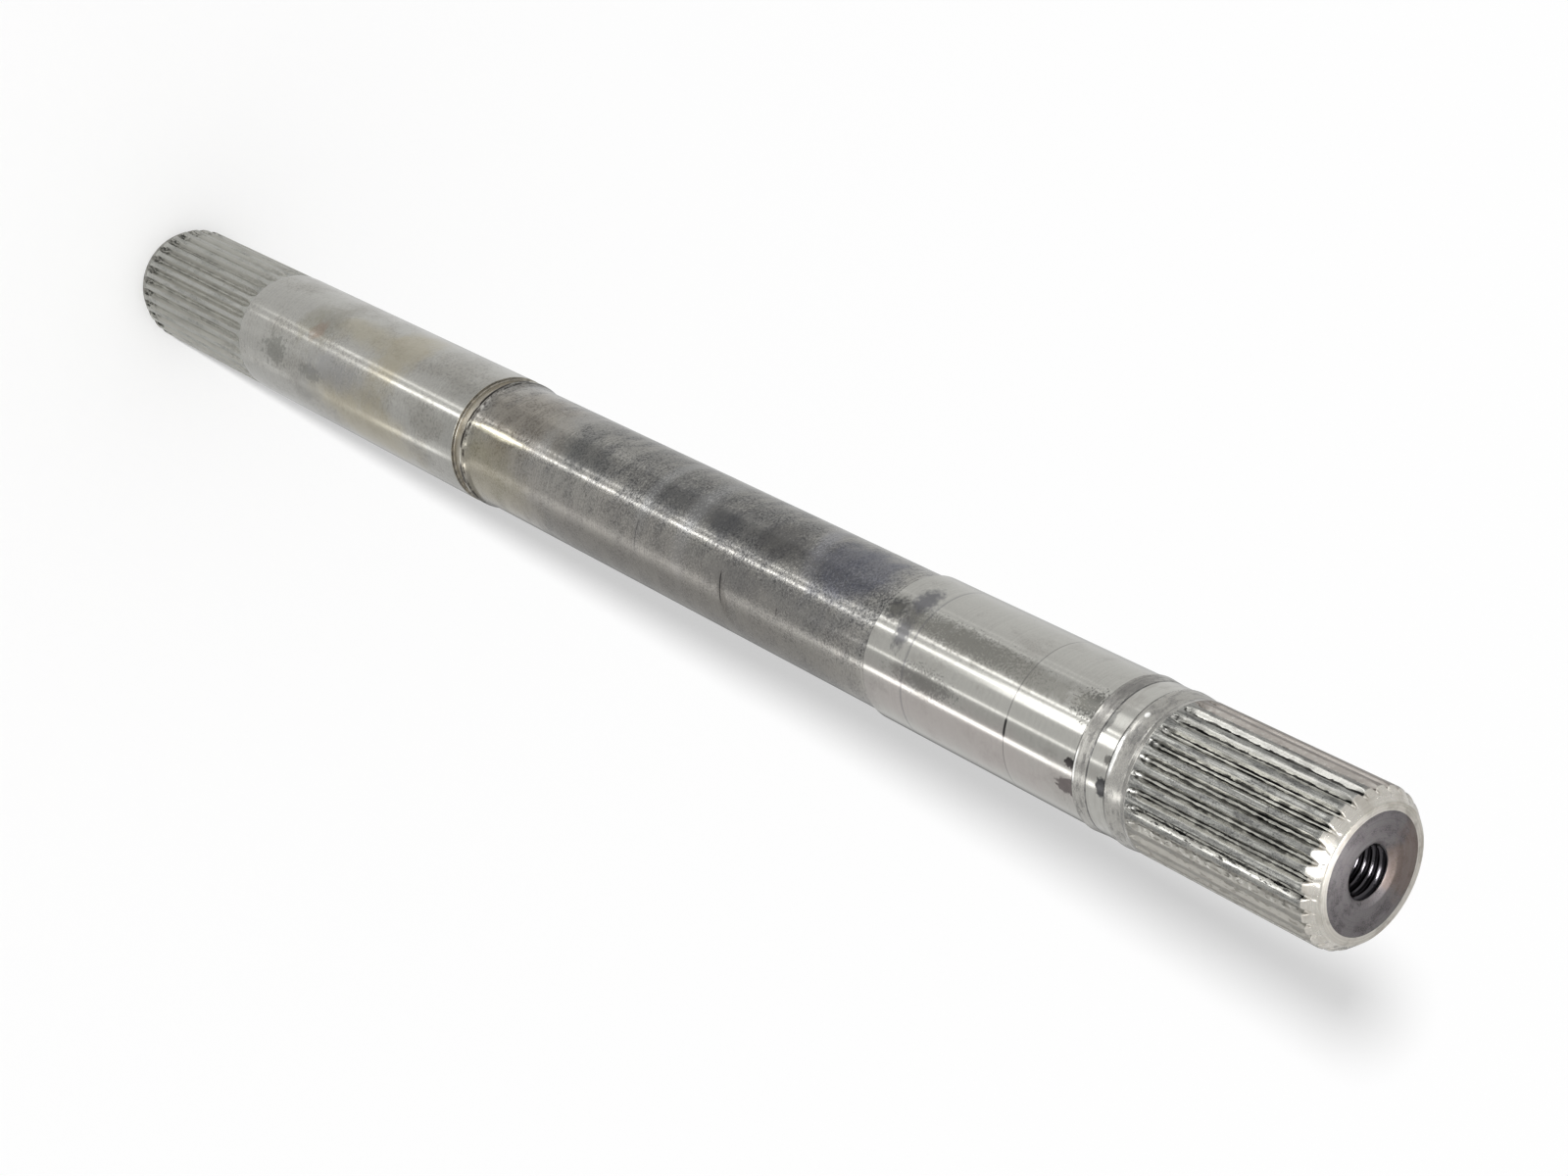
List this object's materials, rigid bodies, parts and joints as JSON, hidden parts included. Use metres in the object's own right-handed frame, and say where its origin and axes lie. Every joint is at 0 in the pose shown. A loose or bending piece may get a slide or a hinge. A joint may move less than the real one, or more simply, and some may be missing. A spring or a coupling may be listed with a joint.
{
  "type": "transmission input shaft",
  "caption": "Transmission input shaft with an involute spline at each end, ground journals, a crowned collar, a groove beside a raised lip and a tapped hole in the near end.",
  "frame": {"origin": "centre of the far end's face, on which the shaft stands", "axes": "+Z along the shaft's axis, up to the near end with the tapped hole"},
  "size_m": [0.0334, 0.0334, 0.4475],
  "materials": {
    "steel": "ground journals, turned and machined surfaces, used and stained"
  },
  "bodies": {
    "root": {"input_shaft": "steel"}
  },
  "joints": []
}
